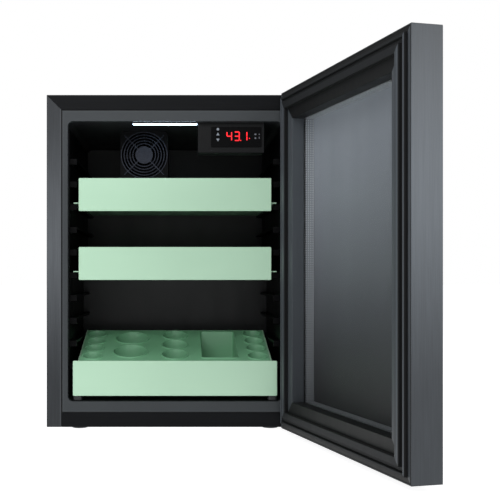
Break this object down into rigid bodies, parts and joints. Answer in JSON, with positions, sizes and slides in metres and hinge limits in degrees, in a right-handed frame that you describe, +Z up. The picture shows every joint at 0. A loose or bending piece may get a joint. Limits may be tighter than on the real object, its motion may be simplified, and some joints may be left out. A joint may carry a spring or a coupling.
{
  "type": "mini fridge",
  "caption": "Compact glass-door refrigerator with a black cabinet, pull-out trays on racks, a cup-holder bottom drawer, a fan and a digital display.",
  "frame": {"origin": "on the floor, under the middle of the cabinet's width and depth", "axes": "+X to the user's right, +Y to the rear, +Z up; the door opens towards -Y"},
  "size_m": [0.6048, 0.9418, 0.64],
  "materials": {
    "black_brushed": "brushed black enamel",
    "door_brushed": "brushed black enamel",
    "frame_plastic": "satin dark grey",
    "cavity_plastic": "smooth black",
    "rack_plastic": "satin black",
    "foam": "closed-cell foam",
    "galvanised": "spangled zinc",
    "back_sheet": "matt black paint",
    "compressor_paint": "black enamel",
    "black_rubber": "matt",
    "copper": "drawn copper tube",
    "coil_paint": "black coil paint",
    "fin_aluminium": "mill",
    "fan_plastic": "moulded black",
    "lamp_plastic": "moulded dark grey",
    "lamp_lens": "lit diffuser",
    "control_plastic": "glossy dark grey",
    "display_tint": "tinted window",
    "display_red": "lit red",
    "button_white": "back-lit white",
    "tray_mint": "clear mint green",
    "tray_green": "clear bottle green",
    "glide_plastic": "satin black",
    "steel": "zinc plated",
    "hinge_steel": "black",
    "bush_plastic": "natural nylon",
    "float_glass": "clear, lightly tinted",
    "spacer_metal": "perforated strip",
    "magnet": "bonded magnet",
    "pan_plastic": "moulded black"
  },
  "bodies": {
    "cabinet": {"cabinet_shell": "black_brushed", "front_stile_left": "black_brushed", "front_stile_right": "black_brushed", "front_rail_top": "black_brushed", "front_rail_bottom": "black_brushed", "breaker_frame": "frame_plastic", "inner_liner": "cavity_plastic", "rack_left": "rack_plastic", "rack_right": "rack_plastic", "insulation_foam": "foam", "base_pan": "galvanised", "back_panel": "back_sheet", "machine_bay_lining": "galvanised", "compressor": "compressor_paint", "compressor_grommets": "black_rubber", "terminal_cover": "pan_plastic", "refrigerant_pipes": "copper", "condenser_coil": "coil_paint", "filter_drier": "copper", "drain_pan": "pan_plastic", "rear_grille": "back_sheet", "rear_screws": "steel", "cord_gland": "black_rubber", "evaporator_cover": "cavity_plastic", "evaporator_coil": "fin_aluminium", "fan_shroud": "fan_plastic", "fan_motor": "fan_plastic", "fan_guard": "steel", "light_housing": "lamp_plastic", "light_lens": "lamp_lens", "control_box": "control_plastic", "display_window": "display_tint", "display_marks": "display_red", "hinge_plate_top": "hinge_steel", "hinge_plate_bottom": "hinge_steel", "hinge_pins": "steel", "hinge_screws": "steel", "rear_feet": "black_rubber"},
    "door": {"door_stile_hinge": "door_brushed", "door_stile_free": "door_brushed", "door_rail_top": "door_brushed", "door_rail_bottom": "door_brushed", "door_inner_frame": "frame_plastic", "door_gasket": "black_rubber", "gasket_magnets": "magnet", "outer_glass": "float_glass", "inner_glass": "float_glass", "glass_spacer": "spacer_metal", "door_bushes": "bush_plastic"},
    "upper_drawer": {"top_tray": "tray_mint"},
    "centre_drawer": {"middle_tray": "tray_mint"},
    "lower_drawer": {"bottom_tray": "tray_mint", "bottom_tray_insert": "tray_green", "tray_glides": "glide_plastic"},
    "rotor": {"fan_rotor": "fan_plastic"},
    "left_leveller": {"front_foot_left": "pan_plastic"},
    "right_leveller": {"front_foot_right": "pan_plastic"},
    "light_switch": {"button_light": "button_white"},
    "warmer_switch": {"button_up": "button_white"},
    "colder_switch": {"button_down": "button_white"}
  },
  "joints": [
    {"name": "door_hinge", "type": "hinge", "parent": "cabinet", "child": "door", "pos_m": [0.2233, -0.256, 0.3225], "axis": [0, 0, 1], "range_deg": [-104.3, 15.7]},
    {"name": "upper_drawer_slide", "type": "slide", "parent": "cabinet", "child": "upper_drawer", "axis": [0, -1, 0], "range_m": [0, 0.3]},
    {"name": "centre_drawer_slide", "type": "slide", "parent": "cabinet", "child": "centre_drawer", "axis": [0, -1, 0], "range_m": [0, 0.22]},
    {"name": "lower_drawer_slide", "type": "slide", "parent": "cabinet", "child": "lower_drawer", "axis": [0, -1, 0], "range_m": [0, 0.16]},
    {"name": "fan_spin", "type": "hinge", "parent": "cabinet", "child": "rotor", "pos_m": [-0.062, -0.086, 0.5375], "axis": [0, 1, 0], "continuous": true},
    {"name": "left_leveller_travel", "type": "slide", "parent": "cabinet", "child": "left_leveller", "axis": [0, 0, -1], "range_m": [0, 0.008]},
    {"name": "right_leveller_travel", "type": "slide", "parent": "cabinet", "child": "right_leveller", "axis": [0, 0, -1], "range_m": [0, 0.008]},
    {"name": "light_switch_press", "type": "slide", "parent": "cabinet", "child": "light_switch", "axis": [0, 1, 0], "range_m": [0, 0.0008], "stiffness_N_per_m": 800},
    {"name": "warmer_switch_press", "type": "slide", "parent": "cabinet", "child": "warmer_switch", "axis": [0, 1, 0], "range_m": [0, 0.0008], "stiffness_N_per_m": 800},
    {"name": "colder_switch_press", "type": "slide", "parent": "cabinet", "child": "colder_switch", "axis": [0, 1, 0], "range_m": [0, 0.0008], "stiffness_N_per_m": 800}
  ]
}
